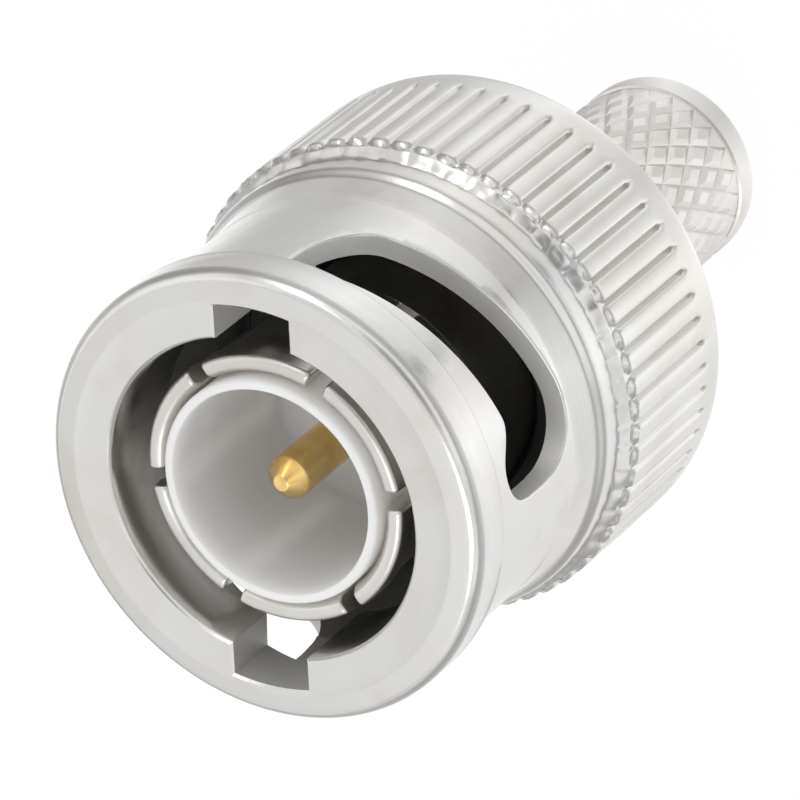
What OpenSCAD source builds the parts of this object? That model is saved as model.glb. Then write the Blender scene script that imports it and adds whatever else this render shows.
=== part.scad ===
// Crimp cable plug with a quarter-turn bayonet coupling nut.
// The axis is Z. The ferrule's end stands on z = 0 and the mating face looks up.
// Lengths called "from the face" run down from the coupling nut's front face.

/* [Coupling nut] */
// whole length, from the nut's front face to the ferrule's end
total_len = 24.7; // [24.2:0.1:26]
// length of the coupling nut
nut_len = 13.95; // [13.85:0.05:14.2]
// bore that passes over the jack's barrel
nut_bore = 9.8; // [9.76:0.01:9.9]
// how far the front ring stands out from the neck
ring_step = 0.3; // [0.2:0.05:0.4]
// length of the front ring
ring_len = 1.6; // [1.4:0.05:1.65]
// round on the front ring's outer edge
ring_round = 0.4; // [0.2:0.05:0.6]
// wall of the neck behind the ring
neck_wall = 0.65; // [0.55:0.05:0.8]
// how far the flare rises from the neck
flare_step = 0.25; // [0.15:0.05:0.3]
// where the flare begins, from the face
flare_start = 6.3; // [6.2:0.05:6.6]
// where the flare meets the shoulder band, from the face
band_start = 7.6; // [7.4:0.05:7.8]
// how far the shoulder band stands out from the neck
band_step = 0.4; // [0.35:0.05:0.45]
// how far the knurl's ridges stand out from the neck
knurl_step = 0.8; // [0.75:0.05:0.9]
// number of knurl ridges
ridges = 62; // [48:1:64]
// height of a ridge above the groove
ridge_h = 0.26; // [0.15:0.01:0.3]
// share of the pitch that a ridge takes at its top
ridge_top = 0.56; // [0.4:0.02:0.6]
// share of the pitch that a ridge takes at its root
ridge_root = 0.84; // [0.7:0.02:0.9]
// where the ridges begin, from the face
knurl_start = 8.4; // [8.3:0.05:8.6]
// length of the bevelled edge behind the ridges
rear_edge = 0.95; // [0.9:0.05:1.2]
// length of the rounded ridge ends
ridge_run = 0.4; // [0.2:0.05:0.5]
// how far the bevelled rear edge falls in from the ridges
rear_bevel = 0.35; // [0.25:0.05:0.4]
// thickness of the rear inner lip
rear_lip = 0.8; // [0.7:0.05:0.9]
// depth of the recess behind the rear lip
recess_len = 0.9; // [0.85:0.05:1]

/* [Bayonet slots] */
// width of the two entry notches
notch_w = 2.4; // [2.2:0.05:2.5]
// step left between a notch's floor and the hollow behind it
notch_step = 0.075; // [0.05:0.005:0.12]
// bevel on the notch's outer edge
notch_bevel = 0.12; // [0.05:0.01:0.2]
// where the cam begins at the notch, from the face
cam_start = 1.65; // [1.65:0.05:1.8]
// how far the cam draws back to its crest
cam_rise = 1.45; // [1.2:0.05:1.5]
// angle from the notch to the crest
crest_angle = 68.5; // [66:0.5:70]
// angle from the notch to the detent
detent_angle = 81; // [80:0.5:84]
// how far the detent drops in front of the crest
detent_drop = 0.6; // [0.4:0.05:0.7]
// angle from the notch to the slot's near end
slot_near = 1.5; // [0:0.5:3]
// angle from the notch to the slot's far end
slot_end = 91; // [90:0.5:92]
// where the line of the slot's rear edge starts at the notch, from the face
slot_rear = 4.4; // [4.3:0.02:4.5]
// how far the rear edge falls back at the far end
slot_fall = 2.15; // [2:0.05:2.2]

/* [Contacts and insulators] */
// outer contact diameter behind the bead
contact_od = 7.92; // [7.8:0.02:8]
// height of the bead at the finger tips
bead_h = 0.15; // [0.1:0.01:0.2]
// wall of the outer contact
contact_wall = 0.46; // [0.4:0.01:0.47]
// where the finger tips stand, from the face
tip_start = 0.72; // [0.6:0.02:0.9]
// number of slots between the fingers
slots = 6; // [4:1:8]
// width of a slot
slot_w = 0.55; // [0.4:0.05:0.6]
// where the slots end, from the face
slot_stop = 6; // [5.6:0.1:6.2]
// angle of the first slot
slot_turn = 36.5; // [30:0.5:60]
// where the insulator's mouth stands, from the face
mouth_start = 0.5; // [0.4:0.05:0.6]
// wall of the insulator's cup
cup_wall = 0.28; // [0.24:0.01:0.36]
// where the cup's floor lies, from the face
cup_floor = 6.4; // [6.2:0.1:6.8]
// centre pin diameter
pin_d = 1.34; // [1.32:0.01:1.37]
// where the pin's tip stands, from the face
pin_tip = 1.15; // [1:0.05:1.3]
// diameter of the pin's flat tip
tip_flat = 0.5; // [0.4:0.05:0.6]
// diameter of the pin's root, held in the front insulator
root_d = 2; // [1.8:0.05:2.1]
// length of the pin's root
root_len = 1.6; // [1.4:0.1:2]
// diameter of the centre contact's wire barrel
barrel_d = 2.3; // [2.2:0.05:2.5]
// bore for the cable's centre wire
wire_bore = 0.96; // [0.9:0.02:1.1]
// depth of the wire bore
wire_depth = 3.6; // [3:0.1:4]
// inspection hole into the wire bore
sight_hole = 0.5; // [0.4:0.05:0.6]

/* [Plug body] */
// how far the body's flange stands out from the hub
flange_step = 0.75; // [0.7:0.05:0.8]
// thickness of the flange
flange_len = 1; // [0.9:0.05:1.1]
// thickness of the gasket
gasket_len = 1.1; // [1:0.05:1.2]
// how far the gasket's edge stays inside the flange
gasket_step = 0.25; // [0.2:0.05:0.35]
// diameter of the hub that the nut turns on
hub_od = 10; // [9.9:0.05:10.1]
// how deep the outer contact sits in the body behind the flange's face
contact_seat = 1.6; // [1.4:0.1:1.8]
// length of the rear insulator
bead_len = 2; // [1.8:0.1:2.2]
// stack height of the two spring washers at rest
spring_len = 1.3; // [1.2:0.05:1.4]
// number of waves round a spring washer
waves = 3; // [3:1:4]
// thickness of a spring washer's metal
spring_t = 0.2; // [0.15:0.01:0.22]
// thickness of the flat washers
washer_t = 0.25; // [0.2:0.05:0.3]
// thickness of the retaining ring
ring_t = 0.4; // [0.3:0.05:0.45]
// how far the retaining ring stands out from the hub
retainer_step = 0.65; // [0.6:0.05:0.75]
// depth of the retaining ring's groove
groove_depth = 0.4; // [0.3:0.05:0.5]
// opening angle of the retaining ring
retainer_gap = 40; // [30:5:60]

/* [Crimp end] */
// outer diameter of the crimp ferrule
ferrule_od = 6; // [5.9:0.05:6.1]
// wall of the crimp ferrule
ferrule_wall = 0.4; // [0.38:0.01:0.45]
// number of diamonds round the ferrule
diamonds = 24; // [16:1:28]
// pitch of the diamonds along the ferrule
diamond_pitch = 1.48; // [1.4:0.02:1.5]
// depth of the diamond knurl
diamond_h = 0.12; // [0.08:0.01:0.14]
// share of a diamond's width that its flat top takes
diamond_top = 0.62; // [0.5:0.02:0.7]
// length of the rounded plain rim at the ferrule's end
rim_len = 1.1; // [1:0.05:1.2]
// how far the rim rounds in at the ferrule's end
rim_round = 0.29; // [0.25:0.01:0.32]
// diameter of the crimp stem
stem_od = 4; // [3.9:0.05:4.1]
// bore of the crimp stem
stem_bore = 3.1; // [3:0.05:3.2]
// length of the crimp stem behind its collar
stem_len = 6.2; // [5.8:0.1:6.4]
// length of the stem's collar that centres the ferrule
collar_len = 1.2; // [1:0.1:1.4]
// number of serrations round the stem
serrations = 28; // [20:1:32]
// depth of the serrations
serration_h = 0.1; // [0.06:0.01:0.12]

/* [Clearances] */
// gap all round between pieces that are pushed together
push_gap = 0.03; // [0.03:0.01:0.04]
// gap all round between the nut and the hub it turns on
run_gap = 0.05; // [0.04:0.01:0.08]
// gap all round the flange and the flat washers inside the nut
cavity_gap = 0.2; // [0.15:0.05:0.25]
// gap all round the retaining ring inside the nut's recess
recess_gap = 0.35; // [0.3:0.05:0.4]

/* [Hidden] */
$fn = 96;

eps = 0.1;
nickel = [0.78, 0.77, 0.75];
bright = [0.83, 0.83, 0.81];
steel = [0.66, 0.67, 0.68];
gold = [0.86, 0.65, 0.33];
white = [0.9, 0.9, 0.89];
rubber = [0.07, 0.07, 0.07];

// stations along the axis, from the face
crest = cam_start + cam_rise;
lip_len = crest + 0.05;
recess_start = nut_len - recess_len;
rear_lip_start = recess_start - rear_lip;
thrust_start = rear_lip_start - washer_t;
spring_start = thrust_start - spring_len;
flange_start = spring_start - flange_len;
gasket_start = flange_start - gasket_len;
retainer_start = recess_start + washer_t;
body_end = nut_len + 0.15;
contact_end = flange_start + contact_seat;
bead_end = contact_end + bead_len;
root_start = cup_floor - 0.1;
contact_step = root_start + root_len;
barrel_end = bead_end - 0.3;
collar_end = body_end + collar_len;
stem_end = collar_end + stem_len;
ferrule_start = body_end + 0.3;
knurl_stop = nut_len - rear_edge;
knurl_end = total_len - rim_len;
diamond_rows = floor((knurl_end - ferrule_start - 0.3) / diamond_pitch);
diamond_start = knurl_end - diamond_rows * diamond_pitch;

// diameters that follow from the hub, outwards to the knurl
flange_od = hub_od + 2 * flange_step;
gasket_od = flange_od - 2 * gasket_step;
cavity_bore = flange_od + 2 * cavity_gap;
washer_od = cavity_bore - 2 * cavity_gap;
washer_bore = hub_od + cavity_gap;
retainer_od = hub_od + 2 * retainer_step;
recess_bore = retainer_od + 2 * recess_gap;
rear_bore = hub_od + 2 * run_gap;
notch_od = cavity_bore - 2 * notch_step;
neck_od = cavity_bore + 2 * neck_wall;
ring_od = neck_od + 2 * ring_step;
flare_od = neck_od + 2 * flare_step;
band_od = neck_od + 2 * band_step;
knurl_od = neck_od + 2 * knurl_step;
rear_od = knurl_od - 2 * rear_bevel;

// diameters that follow from the outer contact and the ferrule
bead_od = contact_od + 2 * bead_h;
contact_bore = contact_od - 2 * contact_wall;
insulator_od = contact_bore - 2 * push_gap - 0.08;
cup_bore = insulator_od - 2 * cup_wall;
spigot_od = contact_od - 1.3;
bead_hole = spigot_od - 0.8;
ferrule_bore = ferrule_od - 2 * ferrule_wall;
collar_od = ferrule_bore - 2 * run_gap;
rim_od = ferrule_od - 2 * rim_round;

// height above the floor of a station measured from the face
function up(s) = total_len - s;

// turns a list of [radius, station] into a profile for rotate_extrude
function prof(list) = [for (p = list) [p[0], up(p[1])]];

// points of a circular arc in [radius, station], about a centre
function arc(r0, s0, rad, a0, a1, n) =
  [for (i = [0:n]) let (a = a0 + (a1 - a0) * i / n) [r0 + rad * cos(a), s0 + rad * sin(a)]];

// point on a cylinder: radius, angle, height
function cyl(r, a, z) = [r * cos(a), r * sin(a), z];

module spin(list) {
  rotate_extrude() polygon(prof(list));
}

module tube(od, bore, s0, s1) {
  spin([[bore / 2, s0], [od / 2, s0], [od / 2, s1], [bore / 2, s1]]);
}

// ---- coupling nut ----

// front edge of the slot: a ramp up to the crest, then down into the detent
function slot_front(t) =
  t < crest_angle ? cam_start + cam_rise * t / crest_angle
  : t < detent_angle ? crest - detent_drop * (1 - cos(180 * (t - crest_angle) / (detent_angle - crest_angle))) / 2
  : crest - detent_drop + 1.1 * (1 - sqrt(max(0, 1 - pow((t - detent_angle) / (slot_end - detent_angle), 2))));

// rear edge of the slot: straight, with a broad corner at each end
function slot_back(t) =
  let (line = slot_rear + slot_fall * t / slot_end, near = slot_near + 14, far = slot_end - 23, low = slot_rear - 2.3)
  t < near ? low + (line - low) * sqrt(max(0, 1 - pow((near - t) / (near - slot_near), 2)))
  : t > far ? line - 2.15 * (1 - sqrt(max(0, 1 - pow((t - far) / (slot_end - far), 2))))
  : line;

// angle of panel edge i out of n along the slot, closer together at both ends
function slot_t(i, n) = slot_near + (slot_end - slot_near) * (i / n + (1 - cos(180 * i / n)) / 2) / 2;

// solid that a bayonet slot removes, running clockwise from the notch in flat-sided panels
module slot_cutter() {
  panels = 5;
  steps = 6;
  n = panels * steps;
  lap = 1.2;
  for (p = [0:panels - 1])
    let (
      t0 = slot_t(p * steps, n), t1 = slot_t((p + 1) * steps, n), mid = (t0 + t1) / 2,
      t = [
        each p > 0 ? [t0 - lap] : [], each [for (i = [0:steps]) slot_t(p * steps + i, n)],
        each p < panels - 1 ? [t1 + lap] : []
      ],
      m = len(t) - 1
    )
      rotate(-mid) rotate([90, 0, 90]) translate([0, 0, nut_bore / 2 - 1])
        linear_extrude((neck_od - nut_bore) / 2 + 1.4) polygon([
          for (i = [0:m]) [sin(mid - t[i]) * neck_od / 2, up(slot_front(t[i]))],
          for (i = [m:-1:0]) [sin(mid - t[i]) * neck_od / 2, up(slot_back(t[i]))]
        ]);
}

// solid that an entry notch removes from the front lip
module notch_cutter() {
  intersection() {
    translate([0, -notch_w / 2, up(lip_len + eps)]) cube([ring_od / 2, notch_w, lip_len + 2 * eps]);
    spin([
      [0, -2 * eps], [notch_od / 2 + notch_bevel + eps, -eps], [notch_od / 2 + notch_bevel, 0],
      [notch_od / 2, notch_bevel], [notch_od / 2, lip_len + 2 * eps], [0, lip_len + 2 * eps]
    ]);
  }
}

// cross-section of the knurl, one crowned ridge per pitch
module ridge_section() {
  pitch = 360 / ridges;
  r1 = knurl_od / 2;
  r0 = r1 - ridge_h;
  polygon([
    for (i = [0:ridges - 1], k = [[-ridge_root, r0], [-ridge_top, r1 - 0.04], [-ridge_top / 3, r1],
         [ridge_top / 3, r1], [ridge_top, r1 - 0.04], [ridge_root, r0]])
      let (a = pitch * (i + k[0] / 2)) [k[1] * cos(a), k[1] * sin(a)]
  ]);
}

module ridge_ring() {
  r1 = knurl_od / 2 + 0.02;
  r0 = knurl_od / 2 - ridge_h - 0.02;
  intersection() {
    translate([0, 0, up(knurl_stop)]) linear_extrude(knurl_stop - knurl_start) ridge_section();
    spin([
      [0, knurl_start], [r0, knurl_start], [r1 - 0.08, knurl_start + ridge_run * 0.4], [r1, knurl_start + ridge_run],
      [r1, knurl_stop - ridge_run], [r1 - 0.06, knurl_stop - ridge_run * 0.3], [r0, knurl_stop], [0, knurl_stop]
    ]);
  }
}

module coupling_nut() {
  r_ring = ring_od / 2;
  r_root = knurl_od / 2 - ridge_h;
  color(bright) difference() {
    union() {
      spin(concat(
        [[nut_bore / 2 + 0.12, 0], [r_ring - 2 * ring_round, 0], [r_ring - ring_round, 0.05]],
        arc(r_ring - ring_round, 0.05 + ring_round, ring_round, -90, 0, 8),
        [
          [r_ring, ring_len - 0.06], [r_ring - 0.06, ring_len], [neck_od / 2, ring_len], [neck_od / 2, flare_start],
          [neck_od / 2 + (flare_od - neck_od) * 0.07, flare_start + 0.4],
          [neck_od / 2 + (flare_od - neck_od) * 0.25, flare_start + 0.8], [flare_od / 2, band_start - 0.12],
          [flare_od / 2 - 0.06, band_start - 0.04], [flare_od / 2 - 0.06, band_start + 0.02],
          [band_od / 2 - 0.05, band_start + 0.06], [band_od / 2, band_start + 0.14], [band_od / 2, knurl_start - 0.2],
          [band_od / 2 - 0.06, knurl_start - 0.12], [r_root, knurl_start + 0.02], [r_root, knurl_stop - 0.12],
          [knurl_od / 2 - 0.06, knurl_stop], [rear_od / 2, nut_len], [recess_bore / 2, nut_len],
          [recess_bore / 2, recess_start], [rear_bore / 2, recess_start], [rear_bore / 2, rear_lip_start],
          [cavity_bore / 2, rear_lip_start], [cavity_bore / 2, lip_len], [nut_bore / 2, lip_len], [nut_bore / 2, 0.12]
        ]
      ));
      difference() {
        ridge_ring();
        tube(knurl_od - 2 * ridge_h - 0.6, 0, knurl_start - eps, knurl_stop + eps);
      }
    }
    for (a = [0, 180]) rotate(a) {
      notch_cutter();
      slot_cutter();
    }
  }
}

// ---- contacts and insulators ----

module outer_contact() {
  lip = 0.2;
  color(nickel) difference() {
    spin(concat(
      [[contact_bore / 2, tip_start + 0.3], [bead_od / 2 - 2 * lip, tip_start + 0.04], [bead_od / 2 - 1.4 * lip, tip_start]],
      arc(bead_od / 2 - lip, tip_start + lip, lip, -90, 0, 6),
      [
        [bead_od / 2, tip_start + 0.75], [contact_od / 2, tip_start + 1.35],
        [contact_od / 2, contact_end], [contact_bore / 2, contact_end]
      ]
    ));
    for (i = [0:slots - 1]) rotate(slot_turn + i * 360 / slots)
      translate([contact_bore / 2 - 0.5, -slot_w / 2, up(slot_stop)]) cube([1.5, slot_w, slot_stop]);
  }
}

module front_insulator() {
  r1 = insulator_od / 2;
  rc = cup_bore / 2;
  color(white) spin([
    [rc + 0.06, mouth_start], [r1 - 0.16, mouth_start], [r1 - 0.03, mouth_start + 0.12], [r1, mouth_start + 0.3],
    [r1, contact_end], [barrel_d / 2 + push_gap, contact_end], [barrel_d / 2 + push_gap, contact_step],
    [root_d / 2 + push_gap, contact_step], [root_d / 2 + push_gap, cup_floor], [rc - 0.25, cup_floor], [rc, cup_floor - 0.25],
    [rc, mouth_start + 0.06]
  ]);
}

module rear_insulator() {
  color(white) tube(bead_hole - 2 * push_gap, barrel_d + 2 * push_gap, contact_end, bead_end);
}

module centre_contact() {
  slope = (pin_d - tip_flat) / 2;
  color(gold) difference() {
    spin([
      [0, pin_tip], [tip_flat / 2, pin_tip], [pin_d / 2, pin_tip + slope], [pin_d / 2, root_start], [root_d / 2, root_start],
      [root_d / 2, contact_step], [barrel_d / 2, contact_step], [barrel_d / 2, barrel_end], [0, barrel_end]
    ]);
    translate([0, 0, up(barrel_end + eps)]) cylinder(d = wire_bore, h = wire_depth + eps);
    translate([0, 0, up(barrel_end - wire_depth + 0.8)]) rotate([0, 90, 0]) cylinder(d = sight_hole, h = barrel_d);
  }
}

// ---- plug body ----

module plug_body() {
  groove_start = retainer_start;
  groove_end = retainer_start + ring_t;
  color(nickel) spin([
    [contact_od / 2 + push_gap, flange_start], [flange_od / 2 - 0.1, flange_start], [flange_od / 2, flange_start + 0.1],
    [flange_od / 2, spring_start], [hub_od / 2, spring_start], [hub_od / 2, groove_start],
    [hub_od / 2 - groove_depth, groove_start], [hub_od / 2 - groove_depth, groove_end], [hub_od / 2, groove_end],
    [hub_od / 2, body_end - 0.15], [hub_od / 2 - 0.15, body_end], [spigot_od / 2 + push_gap, body_end],
    [spigot_od / 2 + push_gap, contact_end], [contact_od / 2 + push_gap, contact_end]
  ]);
}

// toothed cross-section of the stem
module serrated_section(od) {
  polygon([
    for (i = [0:2 * serrations - 1])
      let (a = 180 * i / serrations, r = od / 2 - (i % 2) * serration_h) [r * cos(a), r * sin(a)]
  ]);
}

module crimp_stem() {
  seat = 0.3;
  color(nickel) difference() {
    union() {
      spin([
        [0, contact_end + 0.02], [spigot_od / 2, contact_end + 0.02], [spigot_od / 2, body_end],
        [spigot_od / 2 + seat, body_end], [spigot_od / 2 + seat, body_end + 0.3], [collar_od / 2, body_end + 0.3],
        [collar_od / 2, collar_end - 0.1], [collar_od / 2 - 0.1, collar_end], [stem_od / 2 - serration_h, collar_end],
        [stem_od / 2 - serration_h, stem_end], [0, stem_end]
      ]);
      translate([0, 0, up(stem_end - 0.3)]) linear_extrude(stem_len - 0.6) serrated_section(stem_od);
    }
    translate([0, 0, up(stem_end + eps)]) cylinder(d = stem_bore, h = stem_end - bead_end + eps * 2);
    translate([0, 0, up(bead_end)]) cylinder(d = bead_hole, h = bead_end - contact_end + eps);
  }
}

module gasket() {
  color(rubber) spin([
    [contact_od / 2 + push_gap, gasket_start + 0.15], [contact_od / 2 + push_gap + 0.15, gasket_start],
    [gasket_od / 2 - 0.15, gasket_start], [gasket_od / 2, gasket_start + 0.15], [gasket_od / 2, flange_start],
    [contact_od / 2 + push_gap, flange_start]
  ]);
}

// ---- springs and washers ----

// one wave washer between two stations; turn shifts its waves
module wave_washer(s0, s1, turn) {
  n = 60;
  r0 = washer_bore / 2;
  r1 = washer_od / 2;
  swing = (s1 - s0 - spring_t) / 2;
  pts = [
    for (i = [0:n - 1])
      let (a = 360 * i / n, z = up((s0 + s1) / 2) + swing * cos(waves * a + turn), h = spring_t / 2)
        each [cyl(r0, a, z - h), cyl(r1, a, z - h), cyl(r1, a, z + h), cyl(r0, a, z + h)]
  ];
  polyhedron(pts, [
    for (i = [0:n - 1], k = [0:3])
      let (a = 4 * i + k, b = 4 * i + (k + 1) % 4, c = (a + 4) % (4 * n), d = (b + 4) % (4 * n))
        each [[a, b, c], [b, d, c]]
  ]);
}

module spring_washers() {
  middle = spring_start + spring_len / 2;
  color(steel) {
    wave_washer(spring_start, middle, 0);
    wave_washer(middle, thrust_start, 180);
  }
}

module thrust_washer() {
  color(steel) tube(washer_od, washer_bore, thrust_start, rear_lip_start);
}

module backing_washer() {
  color(steel) tube(recess_bore - 2 * cavity_gap, washer_bore, recess_start, retainer_start);
}

module retaining_ring() {
  inner = hub_od / 2 - groove_depth + push_gap;
  color(steel) rotate(90 + retainer_gap / 2) rotate_extrude(angle = 360 - retainer_gap)
    translate([inner, up(retainer_start + ring_t)]) square([retainer_od / 2 - inner, ring_t]);
}

// ---- crimp ferrule ----

// radius at a crossing of the knurl's grooves
groove_r = ferrule_od / 2 - diamond_h;

// raised flat-topped diamonds on a ring of cells, closed at both ends
module diamond_band() {
  cols = 2 * diamonds;
  rows = 2 * diamond_rows;
  da = 180 / diamonds;
  dz = diamond_pitch / 2;
  z0 = up(knurl_end);
  k = diamond_top;
  // grid points: crossings lie where row + column is even
  grid = [for (i = [0:rows], j = [0:cols - 1]) cyl(groove_r, j * da, z0 + i * dz)];
  // four corners of each diamond's flat top
  tops = [
    for (i = [1:rows - 1], j = [0:cols - 1])
      each [
        cyl(ferrule_od / 2, (j - k) * da, z0 + i * dz), cyl(ferrule_od / 2, j * da, z0 + (i - k) * dz),
        cyl(ferrule_od / 2, (j + k) * da, z0 + i * dz), cyl(ferrule_od / 2, j * da, z0 + (i + k) * dz)
      ]
  ];
  base = len(grid);
  cells = [
    for (i = [1:rows - 1], j = [0:cols - 1]) if ((i + j) % 2 == 1)
      let (
        w = i * cols + (j + cols - 1) % cols, s = (i - 1) * cols + j, e = i * cols + (j + 1) % cols,
        n = (i + 1) * cols + j, t = base + 4 * ((i - 1) * cols + j)
      )
        each [
          [w, t, s], [s, t, t + 1], [s, t + 1, e], [e, t + 1, t + 2], [e, t + 2, n], [n, t + 2, t + 3],
          [n, t + 3, w], [w, t + 3, t], [t, t + 3, t + 1], [t + 1, t + 3, t + 2]
        ]
  ];
  // half cells along both ends, level with the grooves
  halves = [
    for (j = [0:cols - 1]) if (j % 2 == 1)
      let (w = (j + cols - 1) % cols, e = (j + 1) % cols)
        each [[w, cols + j, e], [rows * cols + w, rows * cols + e, (rows - 1) * cols + j]]
  ];
  low = [for (j = [0:2:cols - 1]) j];
  high = [for (j = [cols - 2:-2:0]) rows * cols + j];
  polyhedron(concat(grid, tops), concat(cells, halves, [low, high]));
}

module crimp_ferrule() {
  r = ferrule_od / 2;
  color(nickel) difference() {
    union() {
      diamond_band();
      spin([
        [0, knurl_end - eps], [groove_r - 0.03, knurl_end - eps], [r - 0.04, knurl_end], [r, knurl_end + 0.08],
        [r, total_len - rim_len * 0.6], [r - 0.05, total_len - rim_len * 0.36], [r - 0.15, total_len - rim_len * 0.14],
        [rim_od / 2, total_len], [0, total_len]
      ]);
      spin([
        [0, ferrule_start], [r - 0.1, ferrule_start], [r, ferrule_start + 0.1], [r, diamond_start - 0.06], [groove_r - 0.03, diamond_start + eps],
        [0, diamond_start + eps]
      ]);
    }
    translate([0, 0, -eps]) cylinder(d = ferrule_bore, h = total_len);
  }
}

coupling_nut();
outer_contact();
plug_body();
crimp_stem();
gasket();
front_insulator();
rear_insulator();
centre_contact();
spring_washers();
thrust_washer();
backing_washer();
retaining_ring();
crimp_ferrule();
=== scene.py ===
import math
import bpy
import bmesh
from mathutils import Matrix, Vector, noise


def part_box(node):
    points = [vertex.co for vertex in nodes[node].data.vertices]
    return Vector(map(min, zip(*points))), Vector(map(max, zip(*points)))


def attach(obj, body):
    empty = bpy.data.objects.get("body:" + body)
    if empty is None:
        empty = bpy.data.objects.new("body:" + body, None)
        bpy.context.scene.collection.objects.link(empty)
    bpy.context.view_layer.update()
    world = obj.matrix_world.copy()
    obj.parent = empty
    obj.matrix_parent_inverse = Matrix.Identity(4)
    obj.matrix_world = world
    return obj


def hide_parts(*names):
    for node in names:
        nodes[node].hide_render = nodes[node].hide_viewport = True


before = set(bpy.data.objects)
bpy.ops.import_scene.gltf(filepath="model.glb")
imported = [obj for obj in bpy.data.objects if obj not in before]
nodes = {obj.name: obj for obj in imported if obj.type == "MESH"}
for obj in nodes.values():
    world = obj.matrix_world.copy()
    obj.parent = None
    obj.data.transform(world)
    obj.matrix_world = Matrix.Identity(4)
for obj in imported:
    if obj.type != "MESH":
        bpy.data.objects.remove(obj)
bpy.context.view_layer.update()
mm = 0.001  # sizes below are in millimetres

nutLow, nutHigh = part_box("coupling_nut")
ferruleLow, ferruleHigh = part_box("crimp_ferrule")
contactLow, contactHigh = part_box("outer_contact")
cupLow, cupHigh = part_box("front_insulator")
pinLow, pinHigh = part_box("centre_contact")
faceHeight = nutHigh[2] / mm  # the mating face; stations are counted down from it


def station(z):
    return faceHeight - z / mm


nut = {
    "bore": 4.9, "flatTo": 6.1, "bevelTo": 6.45, "bevel": 0.07, "ring": 6.9, "ringEnd": 1.6, "edge": 0.42,
    "neck": 6.6, "flareStart": 6.18, "flareTurn": 7.1, "bandStart": 7.45, "band": 7.0, "groove": 8.08,
    "grip": nutHigh[0] / mm, "ridgeHeight": 0.16, "flank": 0.17, "gripStart": 8.4, "tips": 8.43,
    "grooveEnd": 12.95, "gripEnd": 13.1, "ridges": 62, "rear": 7.05, "end": station(nutLow[2]),
    "cavity": 5.95, "lipEnd": 3.15, "rearLip": 12.25, "rearBore": 5.05, "recessStart": 13.05, "recess": 6.0,
    "coneSlope": 0.19, "roughFront": 0.045, "roughRidge": 0.008, "insideMatt": 0.6,
}
slot = {
    "camStart": 1.65, "camRise": 1.45, "crest": 68.5, "detent": 81.0, "drop": 0.6, "near": 1.5, "far": 91.0,
    "rear": 4.4, "fall": 2.15, "round": 0.07, "notchWidth": 2.4, "notch": 5.88, "notchBevel": 0.07,
    "nearCorner": 14, "nearDepth": 2.3, "farCorner": 23, "farDepth": 2.15, "farRise": 1.1,
}
contact = {
    "fingers": 6, "slotWidth": 0.55, "slotEnd": 6.0, "turn": 36.5, "tip": station(contactHigh[2]),
    "bead": 4.11, "tube": 3.96, "bore": 3.5, "end": station(contactLow[2]), "sideRound": 0.1, "lip": 0.17,
}
cup = {
    "mouth": station(cupHigh[2]), "bore": 3.15, "outside": cupHigh[0] / mm, "floor": 6.4,
    "step": 7.9, "end": station(cupLow[2]), "lip": 0.12, "mouthRound": 0.06, "floorRound": 0.35, "around": 192,
}
pin = {
    "radius": 0.67, "tip": station(pinHigh[2]), "flat": 0.24, "root": 1.0, "rootStart": 6.3,
    "step": 7.9, "barrel": pinHigh[0] / mm, "end": station(pinLow[2]), "wire": 0.48, "wireDepth": 3.6, "around": 96,
}
ferrule = {
    "radius": 3.0, "bore": 2.6, "front": station(ferruleHigh[2]), "end": station(ferruleLow[2]),
    "around": 24, "pitch": 1.48, "rows": 6, "depth": 0.11, "flat": 0.5, "rim": 1.1, "rimEnd": 2.71,
    "rimFall": 0.31, "rimRun": 0.62,
}


# a point from its radius, its angle and its depth below the mating face
def place(radius, angle, s):
    return (radius * math.cos(angle), radius * math.sin(angle), faceHeight - s)


def addPiece(name, points, faces):
    mesh = bpy.data.meshes.new(name)
    mesh.from_pydata([tuple(c * mm for c in p) for p in points], [], faces)
    piece = bpy.data.objects.new(name, mesh)
    bpy.context.collection.objects.link(piece)
    return piece


def arc(radius, s, size, first, last, steps):
    angles = [math.radians(first + (last - first) * i / steps) for i in range(steps + 1)]
    return [(radius + size * math.cos(a), s + size * math.sin(a)) for a in angles]


def evenAngles(count):
    return [2 * math.pi * i / count for i in range(count)]


# turns a profile of (radius, station) about the axis; a closed profile makes a ring
def lathe(name, profile, angles, closed=True):
    points, rings = [], []
    for radius, s in profile:
        if radius == 0:
            points.append(place(0, 0, s))
            rings.append([len(points) - 1] * len(angles))
        else:
            rings.append(list(range(len(points), len(points) + len(angles))))
            points += [place(radius, a, s) for a in angles]
    faces = []
    last = len(rings) if closed else len(rings) - 1
    for i in range(last):
        ringA, ringB = rings[i], rings[(i + 1) % len(rings)]
        for j in range(len(angles)):
            k = (j + 1) % len(angles)
            corners = [ringA[j], ringA[k], ringB[k], ringB[j]]
            faces.append(list(dict.fromkeys(corners)))
    return addPiece(name, points, [f for f in faces if len(f) > 2])


# merges doubles, turns faces outwards and marks the crisp edges
def finishMesh(piece, sharp=30, gap=0.0004, recalc=True):
    bm = bmesh.new()
    bm.from_mesh(piece.data)
    bmesh.ops.remove_doubles(bm, verts=bm.verts, dist=gap * mm)
    if recalc:
        bmesh.ops.recalc_face_normals(bm, faces=bm.faces)
    limit = math.radians(sharp)
    for face in bm.faces:
        face.smooth = True
    for edge in bm.edges:
        edge.smooth = not (edge.is_manifold and edge.calc_face_angle(0) > limit)
    bm.to_mesh(piece.data)
    bm.free()


def joinInto(piece, others):
    bm = bmesh.new()
    for part in [piece] + others:
        bm.from_mesh(part.data)
    bm.to_mesh(piece.data)
    bm.free()
    for part in others:
        bpy.data.objects.remove(part)


def applyModifiers(piece):
    evaluated = piece.evaluated_get(bpy.context.evaluated_depsgraph_get())
    mesh = bpy.data.meshes.new_from_object(evaluated)
    piece.modifiers.clear()
    piece.data = mesh


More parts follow.
